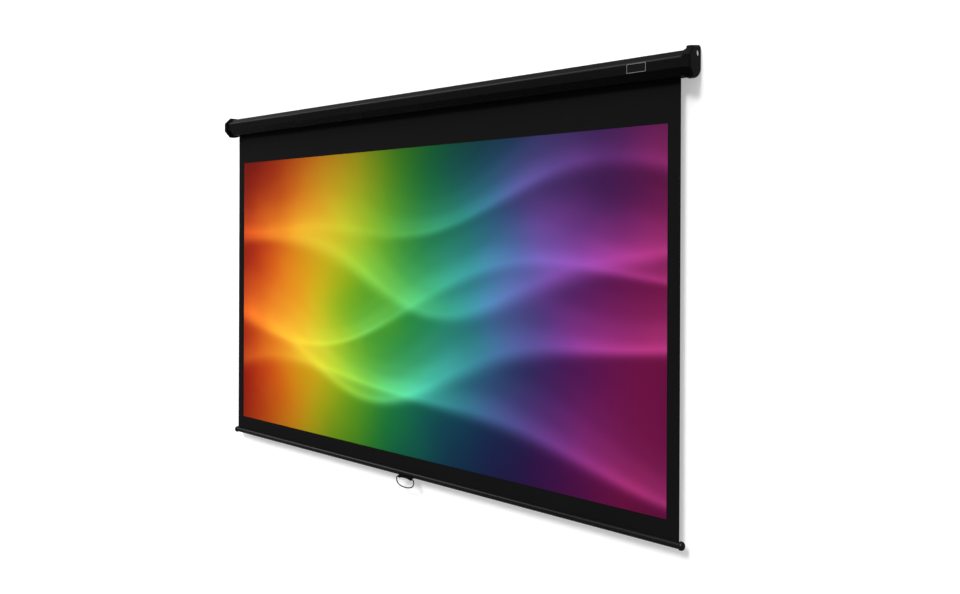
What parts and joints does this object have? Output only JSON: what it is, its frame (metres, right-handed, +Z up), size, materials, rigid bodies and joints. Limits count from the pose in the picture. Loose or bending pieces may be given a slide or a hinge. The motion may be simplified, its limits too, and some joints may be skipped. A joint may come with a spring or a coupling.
{
  "type": "pull-down projector screen",
  "caption": "Wall-hung manual projector screen: an octagonal case with a spring roller, a black-bordered picture fabric, and a round weight bar with a wire pull handle.",
  "frame": {"origin": "on the wall plane, at mid length, level with the centre line of the case", "axes": "+X along the case to the right as seen from the front, +Y into the wall, +Z up; the front faces -Y"},
  "size_m": [2.4, 0.094, 1.6106],
  "materials": {
    "case_paint": "satin black powder coat",
    "cap_plastic": "satin black moulded plastic",
    "masking_fabric": "matte black masking on coated fabric",
    "picture_surface": "matte white coating that shows the picture",
    "steel": "zinc plated",
    "nylon": "natural nylon",
    "adhesive_strip": "double-sided strip",
    "black_screw": "black oxide",
    "badge_metal": "satin, bare, with a bright rim",
    "dark_wire": "dark grey coated steel wire"
  },
  "bodies": {
    "case": {"case_tube": "case_paint", "end_cap_left": "cap_plastic", "end_cap_right": "cap_plastic", "cap_screw_left_bottom": "black_screw", "cap_screw_left_top": "black_screw", "cap_screw_right_bottom": "black_screw", "cap_screw_right_top": "black_screw", "badge_plate": "badge_metal", "screen_fabric": "masking_fabric", "viewing_surface": "picture_surface", "spindle": "steel", "ratchet_wheel": "steel", "spring_collar": "nylon", "pin_bush": "nylon"},
    "roller": {"roller_tube": "steel", "fabric_wraps": "masking_fabric", "fabric_tape": "adhesive_strip", "roller_head_plug": "nylon", "idle_end_plug": "nylon", "gudgeon_pin": "steel", "spring_plug": "nylon", "torsion_spring": "steel", "pawl_pin_upper": "steel", "pawl_pin_lower": "steel"},
    "upper_pawl": {"pawl_upper": "steel"},
    "lower_pawl": {"pawl_lower": "steel"},
    "screen": {"weight_bar": "case_paint", "bar_cap_left": "cap_plastic", "bar_cap_right": "cap_plastic", "hem_rod": "nylon", "hem_pocket": "masking_fabric", "handle_bracket": "cap_plastic", "bracket_screw_left": "black_screw", "bracket_screw_right": "black_screw"},
    "handle": {"handle_bail": "dark_wire"}
  },
  "joints": [
    {"name": "screen_drop", "type": "slide", "parent": "case", "child": "screen", "axis": [0, 0, 1], "range_m": [0, 1.44], "deforming": ["screen_fabric", "viewing_surface"]},
    {"name": "roller_turn", "type": "hinge", "parent": "case", "child": "roller", "pos_m": [0, -0.0598, 0], "axis": [1, 0, 0], "range_deg": [0, 3840]},
    {"name": "upper_pawl_swing", "type": "hinge", "parent": "roller", "child": "upper_pawl", "pos_m": [-1.1625, -0.0698, 0.0095], "axis": [1, 0, 0], "range_deg": [0, 35]},
    {"name": "lower_pawl_swing", "type": "hinge", "parent": "roller", "child": "lower_pawl", "pos_m": [-1.1625, -0.0498, -0.0095], "axis": [1, 0, 0], "range_deg": [-35, 0]},
    {"name": "bail_swing", "type": "hinge", "parent": "screen", "child": "handle", "pos_m": [-0.006, -0.052, -1.5085], "axis": [1, 0, 0], "range_deg": [-80, 80]}
  ],
  "couplings": [
    {"joint": "roller_turn", "follows": "screen_drop", "rad_per_m": 46.5}
  ]
}
